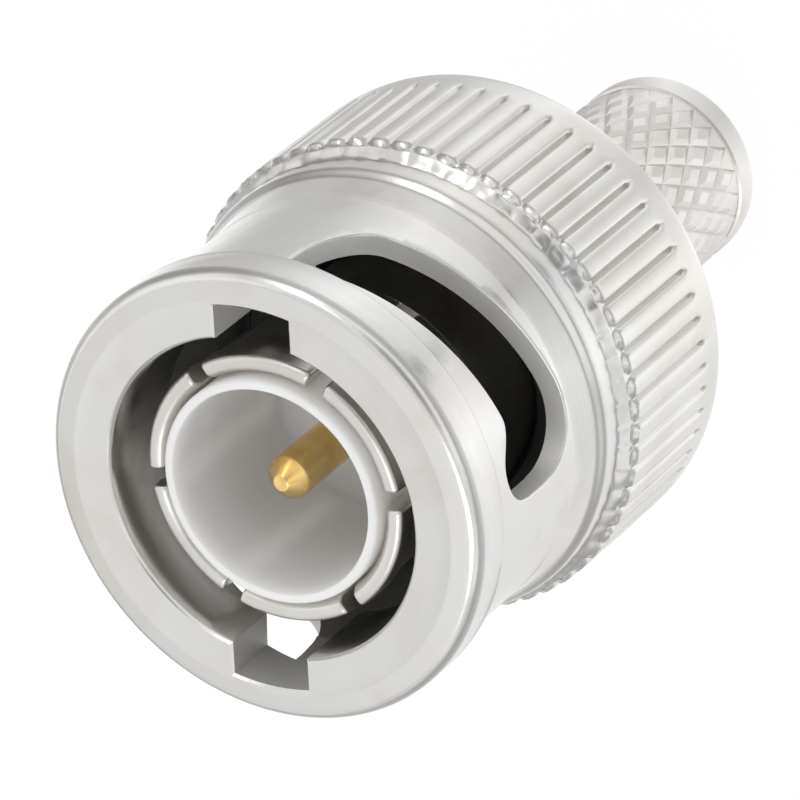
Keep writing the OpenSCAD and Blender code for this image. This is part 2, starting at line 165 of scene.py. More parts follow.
def weightNormals(piece):
    weigh = piece.modifiers.new("weigh", "WEIGHTED_NORMAL")
    weigh.keep_sharp = True
    weigh.weight = 100
    applyModifiers(piece)


def cut(piece, cutters):
    for cutter in cutters:
        step = piece.modifiers.new("cut", "BOOLEAN")
        step.operation = "DIFFERENCE"
        step.solver = "EXACT"
        step.object = cutter
    applyModifiers(piece)
    for cutter in cutters:
        bpy.data.objects.remove(cutter)


# copies of one shape round the axis, in rows that may be staggered
def ringArrayTree():
    tree = bpy.data.node_groups.new("ringArray", "GeometryNodeTree")
    ends = tree.interface
    ends.new_socket("Geometry", in_out="INPUT", socket_type="NodeSocketGeometry")
    for label, kind, value in (("Around", "NodeSocketInt", 12), ("Rows", "NodeSocketInt", 1),
                               ("Row height", "NodeSocketFloat", 0.0), ("Stagger", "NodeSocketFloat", 0.0),
                               ("Turn", "NodeSocketFloat", 0.0), ("Merge", "NodeSocketFloat", 0.0)):
        socket = ends.new_socket(label, in_out="INPUT", socket_type=kind)
        socket.default_value = value
    ends.new_socket("Material", in_out="INPUT", socket_type="NodeSocketMaterial")
    ends.new_socket("Geometry", in_out="OUTPUT", socket_type="NodeSocketGeometry")
    add, link = tree.nodes.new, tree.links.new
    source, target = add("NodeGroupInput"), add("NodeGroupOutput")

    def arith(kind, a, b):
        node = add("ShaderNodeMath")
        node.operation = kind
        for socket, value in zip(node.inputs, (a, b)):
            if isinstance(value, (int, float)):
                socket.default_value = value
            else:
                link(value, socket)
        return node.outputs[0]

    index = add("GeometryNodeInputIndex").outputs[0]
    around = source.outputs["Around"]
    column = arith("MODULO", index, around)
    row = arith("FLOOR", arith("DIVIDE", index, around), 0)
    shift = arith("MULTIPLY", arith("MODULO", row, 2), source.outputs["Stagger"])
    step = arith("DIVIDE", 2 * math.pi, around)
    angle = arith("ADD", arith("MULTIPLY", arith("ADD", column, shift), step), source.outputs["Turn"])
    spots, lift, spin = add("GeometryNodePoints"), add("ShaderNodeCombineXYZ"), add("ShaderNodeCombineXYZ")
    link(arith("MULTIPLY", around, source.outputs["Rows"]), spots.inputs["Count"])
    link(arith("MULTIPLY", row, source.outputs["Row height"]), lift.inputs["Z"])
    link(lift.outputs[0], spots.inputs["Position"])
    link(angle, spin.inputs["Z"])
    copies, real = add("GeometryNodeInstanceOnPoints"), add("GeometryNodeRealizeInstances")
    weld = add("GeometryNodeMergeByDistance")
    coat = add("GeometryNodeSetMaterial")
    link(spots.outputs[0], copies.inputs["Points"])
    link(source.outputs["Geometry"], copies.inputs["Instance"])
    link(spin.outputs[0], copies.inputs["Rotation"])
    link(copies.outputs[0], real.inputs[0])
    link(real.outputs[0], weld.inputs["Geometry"])
    link(source.outputs["Merge"], weld.inputs["Distance"])
    link(weld.outputs[0], coat.inputs["Geometry"])
    link(source.outputs["Material"], coat.inputs["Material"])
    link(coat.outputs[0], target.inputs[0])
    return tree


def ringArray(piece, tree, values):
    modifier = piece.modifiers.new("array", "NODES")
    modifier.node_group = tree
    for item in tree.interface.items_tree:
        if item.in_out == "INPUT" and item.name in values:
            modifier[item.identifier] = values[item.name]
    applyModifiers(piece)


def newMaterial(name):
    material = bpy.data.materials.new(name)
    material.use_nodes = True
    tree = material.node_tree
    shader = tree.nodes["Principled BSDF"]
    return material, tree, shader


def nodeOf(tree, kind, **values):
    node = tree.nodes.new(kind)
    for key, value in values.items():
        if key in node.inputs:
            node.inputs[key].default_value = value
        else:
            setattr(node, key, value)
    return node


def ramp(tree, source, stops):
    node = tree.nodes.new("ShaderNodeValToRGB")
    elements = node.color_ramp.elements
    while len(elements) < len(stops):
        elements.new(0.5)
    for element, (position, colour) in zip(elements, stops):
        element.position = position
        element.color = (*colour, 1)
    tree.links.new(source, node.inputs[0])
    return node.outputs[0]


# coordinates that run along the radius and the axis, so that a texture on them makes rings
def turnedVector(tree, stretch):
    link = tree.links.new
    where = nodeOf(tree, "ShaderNodeTexCoord").outputs["Object"]
    parts = nodeOf(tree, "ShaderNodeSeparateXYZ")
    link(where, parts.inputs[0])
    flat = nodeOf(tree, "ShaderNodeCombineXYZ")
    link(parts.outputs[0], flat.inputs[0])
    link(parts.outputs[1], flat.inputs[1])
    length = nodeOf(tree, "ShaderNodeVectorMath", operation="LENGTH")
    link(flat.outputs[0], length.inputs[0])
    turned = nodeOf(tree, "ShaderNodeCombineXYZ")
    link(length.outputs["Value"], turned.inputs[0])
    link(parts.outputs[2], turned.inputs[1])
    wander = nodeOf(tree, "ShaderNodeVectorMath", operation="MULTIPLY")
    wander.inputs[1].default_value = (stretch, stretch, stretch)
    link(where, wander.inputs[0])
    total = nodeOf(tree, "ShaderNodeVectorMath", operation="ADD")
    link(turned.outputs[0], total.inputs[0])
    link(wander.outputs[0], total.inputs[1])
    return total.outputs[0]


def metal(name, look):
    material, tree, shader = newMaterial(name)
    link = tree.links.new
    where = nodeOf(tree, "ShaderNodeTexCoord").outputs["Object"]
    patches = nodeOf(tree, "ShaderNodeTexNoise", Scale=look["patchScale"], Detail=3.0, Roughness=0.55, Distortion=0.6)
    link(where, patches.inputs["Vector"])
    link(ramp(tree, patches.outputs["Fac"], look["tints"]), shader.inputs["Base Color"])
    cloud = nodeOf(tree, "ShaderNodeTexNoise", Scale=look["cloudScale"], Detail=4.0, Roughness=0.6)
    link(where, cloud.inputs["Vector"])
    gloss = nodeOf(tree, "ShaderNodeMapRange")
    gloss.inputs["From Min"].default_value = 0.3
    gloss.inputs["From Max"].default_value = 0.7
    gloss.inputs["To Min"].default_value, gloss.inputs["To Max"].default_value = look["roughness"]
    link(cloud.outputs["Fac"], gloss.inputs["Value"])
    milled = nodeOf(tree, "ShaderNodeAttribute", attribute_name="milled")
    matt = nodeOf(tree, "ShaderNodeMix", data_type="FLOAT")
    link(milled.outputs["Fac"], matt.inputs["Factor"])
    link(gloss.outputs[0], matt.inputs["A"])
    matt.inputs["B"].default_value = look["milled"]
    link(matt.outputs["Result"], shader.inputs["Roughness"])
    waves = nodeOf(tree, "ShaderNodeTexNoise", Scale=look["waveScale"], Detail=2.0, Roughness=0.5, Distortion=0.3)
    link(where, waves.inputs["Vector"])
    rings = nodeOf(tree, "ShaderNodeTexNoise", Scale=look["ringScale"], Detail=5.0, Roughness=0.6)
    link(turnedVector(tree, 0.02), rings.inputs["Vector"])
    grain = nodeOf(tree, "ShaderNodeTexNoise", Scale=look["grainScale"], Detail=4.0, Roughness=0.65)
    link(where, grain.inputs["Vector"])
    marks = nodeOf(tree, "ShaderNodeBump", Strength=look["ringBump"], Distance=0.00002)
    link(rings.outputs["Fac"], marks.inputs["Height"])
    pits = nodeOf(tree, "ShaderNodeBump", Strength=look["grainBump"], Distance=0.00004)
    link(grain.outputs["Fac"], pits.inputs["Height"])
    link(marks.outputs[0], pits.inputs["Normal"])
    swells = nodeOf(tree, "ShaderNodeBump", Strength=look["waveBump"], Distance=0.00010)
    link(waves.outputs["Fac"], swells.inputs["Height"])
    link(pits.outputs[0], swells.inputs["Normal"])
    link(swells.outputs[0], shader.inputs["Normal"])
    shader.inputs["Metallic"].default_value = 1.0
    return material


brightNickel = {
    "tints": [(0.3, (0.64, 0.615, 0.58)), (0.48, (0.68, 0.67, 0.645)), (0.62, (0.68, 0.68, 0.675)),
              (0.75, (0.66, 0.64, 0.615))],
    "patchScale": 260.0, "cloudScale": 420.0, "roughness": (0.15, 0.27), "ringScale": 9000.0, "ringBump": 0.12,
    "grainScale": 1500.0, "grainBump": 0.14, "waveScale": 420.0, "waveBump": 0.35, "milled": 0.62,
}
satinNickel = {
    "tints": [(0.3, (0.63, 0.605, 0.57)), (0.55, (0.68, 0.665, 0.64)), (0.75, (0.66, 0.64, 0.61))],
    "patchScale": 400.0, "cloudScale": 600.0, "roughness": (0.28, 0.40), "ringScale": 12000.0, "ringBump": 0.15,
    "grainScale": 2500.0, "grainBump": 0.2, "waveScale": 700.0, "waveBump": 0.3, "milled": 0.6,
}
goldPlate = {
    "tints": [(0.35, (0.80, 0.52, 0.17)), (0.6, (0.90, 0.64, 0.27)), (0.8, (0.84, 0.58, 0.22))],
    "patchScale": 700.0, "cloudScale": 900.0, "roughness": (0.16, 0.28), "ringScale": 14000.0, "ringBump": 0.12,
    "grainScale": 4000.0, "grainBump": 0.1, "waveScale": 900.0, "waveBump": 0.1, "milled": 0.5,
}
springStrip = {
    "tints": [(0.35, (0.50, 0.50, 0.50)), (0.65, (0.62, 0.62, 0.61))],
    "patchScale": 500.0, "cloudScale": 800.0, "roughness": (0.28, 0.4), "ringScale": 8000.0, "ringBump": 0.2,
    "grainScale": 3000.0, "grainBump": 0.2, "waveScale": 600.0, "waveBump": 0.1, "milled": 0.6,
}


def plastic(name, look):
    material, tree, shader = newMaterial(name)
    link = tree.links.new
    where = nodeOf(tree, "ShaderNodeTexCoord").outputs["Object"]
    haze = nodeOf(tree, "ShaderNodeTexNoise", Scale=look["hazeScale"], Detail=3.0)
    link(where, haze.inputs["Vector"])
    link(ramp(tree, haze.outputs["Fac"], look["tints"]), shader.inputs["Base Color"])
    rings = nodeOf(tree, "ShaderNodeTexNoise", Scale=look["ringScale"], Detail=4.0)
    link(turnedVector(tree, 0.03), rings.inputs["Vector"])
    marks = nodeOf(tree, "ShaderNodeBump", Strength=look["bump"], Distance=0.00003)
    link(rings.outputs["Fac"], marks.inputs["Height"])
    link(marks.outputs[0], shader.inputs["Normal"])
    shader.inputs["Roughness"].default_value = look["roughness"]
    shader.inputs["Subsurface Weight"].default_value = look["subsurface"]
    shader.inputs["Subsurface Radius"].default_value = (1.0, 0.9, 0.8)
    shader.inputs["Subsurface Scale"].default_value = 0.0009
    return material


whiteInsulator = {
    "tints": [(0.35, (0.74, 0.735, 0.73)), (0.65, (0.78, 0.78, 0.78))], "hazeScale": 500.0, "ringScale": 7000.0,
    "bump": 0.15, "roughness": 0.45, "subsurface": 1.0,
}
blackRubber = {
    "tints": [(0.35, (0.028, 0.027, 0.026)), (0.65, (0.04, 0.039, 0.038))], "hazeScale": 900.0, "ringScale": 6000.0,
    "bump": 0.3, "roughness": 0.55, "subsurface": 0.0,
}

materials = {
    "brightNickel": metal("brightNickel", brightNickel), "satinNickel": metal("satinNickel", satinNickel),
    "goldPlate": metal("goldPlate", goldPlate), "springStrip": metal("springStrip", springStrip),
    "whiteInsulator": plastic("whiteInsulator", whiteInsulator), "blackRubber": plastic("blackRubber", blackRubber),
}
print("materials ready")


def paint(piece, name):
    piece.data.materials.clear()
    piece.data.materials.append(materials[name])


def standFor(piece, body, node):
    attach(piece, body)
    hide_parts(node)


# angles of the ridges, shared by the whole nut so that its rings of points line up
pitch = 2 * math.pi / nut["ridges"]
ridgeColumns = [math.radians(a) for a in (-2.62, -2.35, -2.05, -1.5, 0, 1.5, 2.05, 2.35, 2.62)] + [pitch / 2]
nutAngles = [k * pitch + a for k in range(nut["ridges"]) for a in ridgeColumns]
rootRadius = nut["grip"] - nut["ridgeHeight"]


# front edge of a slot: a ramp up to the crest, then down into the detent
def slotFront(t):
    top = slot["camStart"] + slot["camRise"]
    if t < slot["crest"]:
        return slot["camStart"] + slot["camRise"] * t / slot["crest"]
    if t < slot["detent"]:
        share = (t - slot["crest"]) / (slot["detent"] - slot["crest"])
        return top - slot["drop"] * (1 - math.cos(math.pi * share)) / 2
    share = (t - slot["detent"]) / (slot["far"] - slot["detent"])
    return top - slot["drop"] + slot["farRise"] * (1 - math.sqrt(max(0, 1 - share ** 2)))


# rear edge of a slot: straight, with a broad corner at each end
def slotBack(t):
    line = slot["rear"] + slot["fall"] * t / slot["far"]
    near, far = slot["near"] + slot["nearCorner"], slot["far"] - slot["farCorner"]
    low = slot["rear"] - slot["nearDepth"]
    if t < near:
        return low + (line - low) * math.sqrt(max(0, 1 - ((near - t) / slot["nearCorner"]) ** 2))
    if t > far:
        return line - slot["farDepth"] * (1 - math.sqrt(max(0, 1 - ((t - far) / slot["farCorner"]) ** 2)))
    return line


# the solid that a slot takes away: the outline at several radii, wider near the surface for a rounded edge
def slotCutter(turn):
    steps = 72
    shares = [(i / steps + (1 - math.cos(math.pi * i / steps)) / 2) / 2 for i in range(steps + 1)]
    ts = [slot["near"] + (slot["far"] - slot["near"]) * share for share in shares]
    around = [(math.radians(t) * nut["neck"], slotFront(t)) for t in ts]
    around += [(math.radians(t) * nut["neck"], slotBack(t)) for t in reversed(ts)]
    count = len(around)
    normals = []
    for i, (x, s) in enumerate(around):
        before, after = around[i - 1], around[(i + 1) % count]
        dx, ds = after[0] - before[0], after[1] - before[1]
        length = math.hypot(dx, ds)
        normals.append((ds / length, -dx / length))
    r = slot["round"]
    layers = [(4.3, 0), (5.4, 0)]
    layers += [(nut["neck"] - r + r * math.sin(a), r * (1 - math.cos(a))) for a in (0, 0.45, 0.85, 1.2)]
    last = layers[-1]
    layers.append((nut["neck"] + 0.2, last[1] + (nut["neck"] + 0.2 - last[0]) * math.tan(1.2)))
    points, faces = [], []
    for radius, offset in layers:
        for (x, s), (nx, ns) in zip(around, normals):
            angle = turn - (x + offset * nx) / nut["neck"]
            points.append(place(radius, angle, s + offset * ns))
    for layer in range(len(layers) - 1):
        for i in range(count):
            k = (i + 1) % count
            a, b = layer * count, (layer + 1) * count
            faces.append((a + i, a + k, b + k, b + i))
    for base in (0, (len(layers) - 1) * count):
        for i in range(steps):
            faces.append((base + i, base + i + 1, base + count - 2 - i, base + count - 1 - i))
    cutter = addPiece("slotCutter", points, faces)
    finishMesh(cutter)
    return cutter


# the solid that an entry notch takes away, bevelled where it meets the front face
def notchCutter(turn):
    points, faces = [], []
    steps = 14
    levels = [(slot["notchBevel"] - 0.3, 0.3), (slot["notchBevel"], 0), (nut["lipEnd"] + 0.4, 0)]
    for s, grow in levels:
        half, radius = slot["notchWidth"] / 2 + grow, slot["notch"] + grow
        for i in range(steps + 1):
            y = half * (2 * i / steps - 1)
            points.append((math.sqrt(radius ** 2 - y ** 2), y, faceHeight - s))
        points += [(4.0, half, faceHeight - s), (4.0, -half, faceHeight - s)]
    count = steps + 3
    for level in range(len(levels) - 1):
        for i in range(count):
            k = (i + 1) % count
            a, b = level * count, (level + 1) * count
            faces.append((a + i, a + k, b + k, b + i))
    faces += [tuple(range(count)), tuple(range(2 * count, 3 * count))]
    cutter = addPiece("notchCutter", points, faces)
    cutter.data.transform(Matrix.Rotation(turn, 4, "Z"))
    finishMesh(cutter)
    return cutter


# height of the grip above its root: tongues with round tips, and V grooves that run out to a point
def ridgeLift(x, s):
    half = pitch / 2 * nut["grip"] - 0.012
    along = max(nut["tips"] + half - s, 0)
    inside = half - math.hypot(x, along)
    runOut = max(0, (s - nut["grooveEnd"] + 0.35) / 0.35)
    share = min(max(inside, 0) / nut["flank"] + runOut, 1)
    return nut["ridgeHeight"] * math.sin(math.pi / 2 * share)


def makeGrip(tree):
    length = nut["gripEnd"] - nut["gripStart"]
    rows = [0, 0.03, 0.07, 0.12, 0.17, 0.22, 0.28, 0.34, 0.41, 0.6]
    rows += [0.6 + (length - 1.1) * i / 7 for i in range(1, 8)] + [length - e for e in (0.4, 0.3, 0.22, 0.15, 0.07, 0)]
    columns = [-pitch / 2] + ridgeColumns
    points = [place(rootRadius + ridgeLift(a * nut["grip"], nut["gripStart"] + row), a, nut["gripStart"] + row)
              for row in rows for a in columns]
    wide = len(columns)
    faces = [(i * wide + j, i * wide + j + 1, (i + 1) * wide + j + 1, (i + 1) * wide + j)
             for i in range(len(rows) - 1) for j in range(wide - 1)]
    grip = addPiece("gripRidges", points, faces)
    ringArray(grip, tree, {"Around": nut["ridges"], "Merge": 0.0005 * mm, "Material": materials["brightNickel"]})
    return grip


# tells the finish where the metal was milled or left rough inside
def markMilled(piece):
    values = []
    for face in piece.data.polygons:
        x, y, z = face.center / mm
        radius, s = math.hypot(x, y), faceHeight - z
        inWall = nut["bore"] + 0.03 < radius < nut["cavity"] - 0.02 and 0.08 < s < nut["lipEnd"] - 0.02
        inSlot = nut["cavity"] + 0.02 < radius < nut["neck"] - 0.05 and s < nut["flareStart"]
        inside = radius < nut["cavity"] + 0.02 and s > nut["lipEnd"] - 0.02
        values.append(1.0 if inWall or inSlot else nut["insideMatt"] if inside else 0.0)
    layer = piece.data.attributes.new("milled", "FLOAT", "FACE")
    layer.data.foreach_set("value", values)


def makeNut(tree):
    n = nut
    root, neck, band, groove = rootRadius, n["neck"], n["band"], n["groove"]
    # front face, its bevel and the rounded ring
    profile = [(n["bore"] + 0.1, 0), ((n["bore"] + n["flatTo"]) / 2, 0), (n["flatTo"] - 0.04, 0),
               (n["flatTo"] + 0.04, 0.01), (n["bevelTo"], n["bevel"])]
    profile += arc(n["ring"] - n["edge"], n["edge"] + n["bevel"], n["edge"], -72, 0, 8)
    profile += [(n["ring"], 0.9), (n["ring"], n["ringEnd"] - 0.1), (n["ring"] - 0.03, n["ringEnd"] - 0.03),
                (n["ring"] - 0.09, n["ringEnd"]), (neck + 0.05, n["ringEnd"]), (neck, n["ringEnd"] + 0.05)]
    profile += [(neck, 1.9 + 0.5 * i) for i in range(9)] + [(neck, n["flareStart"] - 0.05)]
    # a slow cone, a hollow up to the band, then the groove in front of the ridges
    flareRun, hollowRun = n["flareTurn"] - n["flareStart"], n["bandStart"] - n["flareTurn"]
    cone = flareRun * n["coneSlope"]
    profile += [(neck + 0.004, n["flareStart"])]
    profile += [(neck + cone * share, n["flareStart"] + flareRun * share) for share in (0.08, 0.3, 0.6, 0.9, 1.0)]
    low, high = neck + cone, band - 0.02
    for share in (0.15, 0.3, 0.45, 0.6, 0.75, 0.88, 1.0):
        profile.append((low + (high - low) * share ** 2 * (3 - 2 * share), n["flareTurn"] + hollowRun * share))
    profile += [(band, n["bandStart"] + 0.12), (band + 0.015, n["bandStart"] + 0.35), (band, groove - 0.06),
                (band - 0.03, groove - 0.02), (band - 0.06, groove + 0.03), (band - 0.04, groove + 0.08),
                (band + 0.03, groove + 0.14), (band + 0.1, groove + 0.2), (root - 0.06, groove + 0.26)]
    profile += [(root, n["gripStart"]), (root, n["gripEnd"] - 1), (n["grip"], n["gripEnd"])]
    # rounded rear, recess, inner lip and cavity, then back up the bore
    fall, run = n["grip"] - n["rear"], n["end"] - n["gripEnd"] - 0.02
    profile += [(n["grip"] - fall * (1 - math.cos(a)), n["gripEnd"] + run * math.sin(a))
                for a in (0.15, 0.35, 0.55, 0.75, 0.95, 1.15, 1.35)]
    profile += [(n["rear"] - 0.05, n["end"]), (n["recess"] + 0.05, n["end"]), (n["recess"], n["end"] - 0.05),
                (n["recess"], n["recessStart"]), (n["rearBore"], n["recessStart"]), (n["rearBore"], n["rearLip"])]
    profile += [(n["cavity"], s) for s in (n["rearLip"], 10.0, 8.0, 6.3, 4.6, n["lipEnd"])]
    profile += [(n["bore"], s) for s in (n["lipEnd"], 2.1, 1.1, 0.14)] + [(n["bore"] + 0.03, 0.06)]
    body = lathe("couplingNut", profile, nutAngles)
    finishMesh(body)
    cut(body, [slotCutter(0), slotCutter(math.pi), notchCutter(0), notchCutter(math.pi)])

    # the plain band under the grip gives way to the ridges
    bm = bmesh.new()
    bm.from_mesh(body.data)
    high, low = (faceHeight - n["gripStart"]) * mm, (faceHeight - n["gripEnd"]) * mm
    plain = []
    for face in bm.faces:
        middle = face.calc_center_median()
        if low < middle.z < high and math.hypot(middle.x, middle.y) > (rootRadius - 0.05) * mm:
            plain.append(face)
    bmesh.ops.delete(bm, geom=plain, context="FACES")
    bm.to_mesh(body.data)
    bm.free()
    joinInto(body, [makeGrip(tree)])

    # rough start of the knurl and slight unevenness of the ridges
    for vertex in body.data.vertices:
        x, y, z = vertex.co / mm
        radius = math.hypot(x, y)
        s = faceHeight - z
        if radius > n["band"] - 0.07 and n["groove"] < s < n["gripEnd"]:
            rough = n["roughFront"] if s < n["gripStart"] + 0.2 else n["roughRidge"]
            lift = rough * noise.noise(Vector((x, y, z)) * 3.1) - rough * 0.4
            vertex.co.x *= 1 + lift / radius
            vertex.co.y *= 1 + lift / radius
            vertex.co.z += 0.6 * rough * noise.noise(Vector((y, z, x)) * 3.7) * mm
    finishMesh(body, gap=0.0015)
    weightNormals(body)
    markMilled(body)
    paint(body, "brightNickel")
    standFor(body, "nut", "coupling_nut")
    return body


ringTree = ringArrayTree()
couplingNut = makeNut(ringTree)
print("coupling nut", len(couplingNut.data.polygons), "faces")


# six sprung fingers on a tube
def makeContact(tree):
    c = contact
    lip, tip, end = c["lip"], c["tip"], c["slotEnd"] + 0.05
    section = [(c["tube"] - 0.002, s) for s in (end, 4.0, 2.6)]
    section += [(c["tube"] + 0.02, 1.95), (c["bead"] - 0.03, tip + 0.85), (c["bead"], tip + 0.65),
                (c["bead"], tip + 0.4)]
    section += arc(c["bead"] - lip - 0.02, tip + lip, lip, 10, -90, 6)
    section += [(c["bore"] + 0.24, tip), (c["bore"] + 0.16, tip + 0.04), (c["bore"] + 0.05, tip + 0.2),
                (c["bore"] + 0.004, tip + 0.4)]
    section += [(c["bore"] + 0.002, s) for s in (2.2, 3.6, end)]
    count = len(section)
    inward = []
    for i in range(count):
        (ra, sa), (rb, sb) = section[i - 1], section[(i + 1) % count]
        dr, ds = rb - ra, sb - sa
        length = math.hypot(dr, ds)
        inward.append((ds / length, -dr / length))
    # columns from one slot to the next, drawn in towards both sides
    size = c["sideRound"]
    sides = [(size * (1 - math.cos(a)), size * (1 - math.sin(a))) for a in (0, 0.4, 0.8, 1.2, math.pi / 2)]
    columns = [(-1, gap, inset) for gap, inset in sides] + [(0, i / 14, 0) for i in range(1, 14)]
    columns += [(1, gap, inset) for gap, inset in reversed(sides)]
    half = math.pi / c["fingers"]
    points, faces = [], []
    for side, gap, inset in columns:
        for (radius, s), (ir, isy) in zip(section, inward):
            edge = half - math.asin((c["slotWidth"] / 2 + size) / radius)
            r, z = radius + ir * inset, s + isy * inset
            if side == 0:
                angle = -edge + 2 * edge * gap
            else:
                angle = side * (half - math.asin((c["slotWidth"] / 2 + gap) / radius))
            points.append(place(r, angle, z))
    for j in range(len(columns) - 1):
        for i in range(count):
            k = (i + 1) % count
            faces.append((j * count + i, j * count + k, (j + 1) * count + k, (j + 1) * count + i))
    # side walls, as strips across the wall from outside to inside
    for base in (0, (len(columns) - 1) * count):
        for i in range(count // 2):
            k = count - 1 - i
            if k - 1 > i:
                faces.append((base + i, base + i + 1, base + k - 1, base + k))
    finger = addPiece("outerContact", points, faces)
    finishMesh(finger)
    turn = math.radians(c["turn"]) + half
    ringArray(finger, tree, {"Around": c["fingers"], "Turn": turn, "Material": materials["satinNickel"]})
    wall = [(c["bore"], c["slotEnd"]), (c["tube"], c["slotEnd"]), (c["tube"], c["end"]), (c["bore"], c["end"])]
    tube = lathe("contactTube", wall, evenAngles(180))
    joinInto(finger, [tube])
    finishMesh(finger)
    paint(finger, "satinNickel")
    standFor(finger, "plug", "outer_contact")
    return finger


outerContact = makeContact(ringTree)
print("outer contact", len(outerContact.data.polygons), "faces")


def makeCup():
    c, lip, small, large = cup, cup["lip"], cup["mouthRound"], cup["floorRound"]
    root, barrel = pin["root"] + 0.03, pin["barrel"] + 0.03
    profile = arc(c["bore"] + small, c["mouth"] + small, small, 180, 270, 4)
    profile += arc(c["outside"] - lip, c["mouth"] + lip * 1.1, lip, -88, 0, 6)
    profile += [(c["outside"], s) for s in (2.0, 5.0, c["end"])]
    profile += [(barrel, c["end"]), (barrel, c["step"]), (root, c["step"]), (root, c["floor"] + 0.03),
                (pin["root"] + 0.06, c["floor"]), (1.8, c["floor"]), (c["bore"] - large, c["floor"])]
    profile += arc(c["bore"] - large, c["floor"] - large, large, 90, 0, 6)[1:]
    profile += [(c["bore"], s) for s in (4.5, 3.0, 1.5)]
    piece = lathe("insulatorCup", profile, evenAngles(c["around"]))
    finishMesh(piece)
    paint(piece, "whiteInsulator")
    standFor(piece, "plug", "front_insulator")
    return piece


def makePin():
    p = pin
    shoulder, wireEnd = p["tip"] + p["radius"] - p["flat"], p["end"] - p["wireDepth"]
    profile = [(0, p["tip"]), (p["flat"] - 0.02, p["tip"]), (p["flat"], p["tip"] + 0.01),
               (p["flat"] + 0.02, p["tip"] + 0.035), (p["radius"] - 0.04, shoulder - 0.02),
               (p["radius"] - 0.012, shoulder + 0.03)]
    profile += [(p["radius"], s) for s in (shoulder + 0.09, 3.0, 5.0, p["rootStart"])]
    profile += [(p["root"], p["rootStart"]), (p["root"], p["step"]), (p["barrel"], p["step"]), (p["barrel"], p["end"]),
                (p["wire"], p["end"]), (p["wire"], wireEnd), (0, wireEnd)]
    piece = lathe("centrePin", profile, evenAngles(p["around"]), closed=False)
    finishMesh(piece)
    paint(piece, "goldPlate")
    standFor(piece, "plug", "centre_contact")
    return piece


insulatorCup = makeCup()
centrePin = makePin()
print("insulator cup and pin ready")


# staggered diamonds between two plain rims
def makeFerrule(tree):
    f = ferrule
    low = f["radius"] - f["depth"]
    knurlEnd = f["end"] - f["rim"]
    halfTurn, halfPitch = math.pi / f["around"], f["pitch"] / 2
    knurlStart = knurlEnd - f["rows"] * f["pitch"]

    # one diamond: loops of eight points from the groove up to the flat top
    loops = [(1.0, low), (f["flat"] + 0.14, f["radius"] - 0.025), (f["flat"], f["radius"])]
    ring = [(1, 0), (0.5, 0.5), (0, 1), (-0.5, 0.5), (-1, 0), (-0.5, -0.5), (0, -1), (0.5, -0.5)]
    points, faces = [], []
    for share, radius in loops:
        for x, y in ring:
            points.append(place(radius, x * share * halfTurn, knurlEnd - halfPitch + y * share * halfPitch))
    points.append(place(f["radius"], 0, knurlEnd - halfPitch))
    for loop in range(2):
        for i in range(8):
            k = (i + 1) % 8
            faces.append((loop * 8 + i, loop * 8 + k, (loop + 1) * 8 + k, (loop + 1) * 8 + i))
    faces += [(16 + i, 16 + (i + 1) % 8, 24) for i in range(8)]
    diamonds = addPiece("crimpFerrule", points, faces)
    ringArray(diamonds, tree, {"Around": f["around"], "Rows": 2 * f["rows"] - 1, "Row height": halfPitch * mm,
                               "Stagger": 0.5, "Merge": 0.0005 * mm, "Material": materials["satinNickel"]})

    # half cells close the zigzag at both ends, level with the grooves
    points, faces = [], []
    steps = 2 * f["around"]
    for s, lean in ((knurlEnd, -1), (knurlStart, 1)):
        base = len(points)
        for j in range(2 * steps):
            points.append(place(low, j * halfTurn / 2, s))
        for j in range(f["around"]):
            tip = len(points)
            middle = 4 * j + 2
            points += [place(low, middle * halfTurn / 2, s + lean * halfPitch),
                       place(low, (middle - 1) * halfTurn / 2, s + lean * halfPitch / 2),
                       place(low, (middle + 1) * halfTurn / 2, s + lean * halfPitch / 2)]
            spots = [base + (middle + d) % (2 * steps) for d in (-2, -1, 0, 1, 2)]
            faces += [(spots[0], spots[1], tip + 1), (spots[1], spots[2], tip, tip + 1),
                      (spots[2], spots[3], tip + 2, tip), (spots[3], spots[4], tip + 2)]
    gaps = addPiece("ferruleGaps", points, faces)

    angles = evenAngles(4 * f["around"])
    r, end = f["radius"], f["end"]
    fall, run = f["rimFall"], f["rimRun"]
    rear = [(low, knurlEnd), (low + 0.01, knurlEnd + 0.03), (r - 0.02, knurlEnd + 0.07), (r, knurlEnd + 0.13)]
    rear += [(r, end - run - 0.04)]
    rear += [(r - fall * (1 - math.cos(a)), end - run + run * math.sin(a)) for a in [0.25 * i for i in range(1, 6)]]
    rear += [(f["rimEnd"] - 0.02, end - 0.004), (f["rimEnd"] - 0.05, end), (f["bore"] + 0.03, end),
             (f["bore"], end - 0.05)]
    front = [(f["bore"], f["front"] + 0.05), (f["bore"] + 0.05, f["front"]), (r - 0.08, f["front"]),
             (r - 0.02, f["front"] + 0.03), (r, f["front"] + 0.09), (r, knurlStart - 0.1), (low, knurlStart)]
    rim = lathe("ferruleRim", front, angles, closed=False)
    sleeve = lathe("ferruleSleeve", rear + [(f["bore"], f["front"] + 0.05)], angles, closed=False)
    joinInto(diamonds, [gaps, rim, sleeve])
    finishMesh(diamonds, sharp=26, gap=0.002)
    paint(diamonds, "satinNickel")
    standFor(diamonds, "ferrule", "crimp_ferrule")
    return diamonds


crimpFerrule = makeFerrule(ringTree)
print("crimp ferrule", len(crimpFerrule.data.polygons), "faces")

# pieces that stay as they were built get their finishes
for node, look in (("plug_body", "brightNickel"), ("crimp_stem", "satinNickel"), ("gasket", "blackRubber"),
                   ("rear_insulator", "whiteInsulator"), ("spring_washers", "springStrip"),
                   ("thrust_washer", "springStrip"), ("backing_washer", "springStrip"),
                   ("retaining_ring", "springStrip")):
    paint(nodes[node], look)


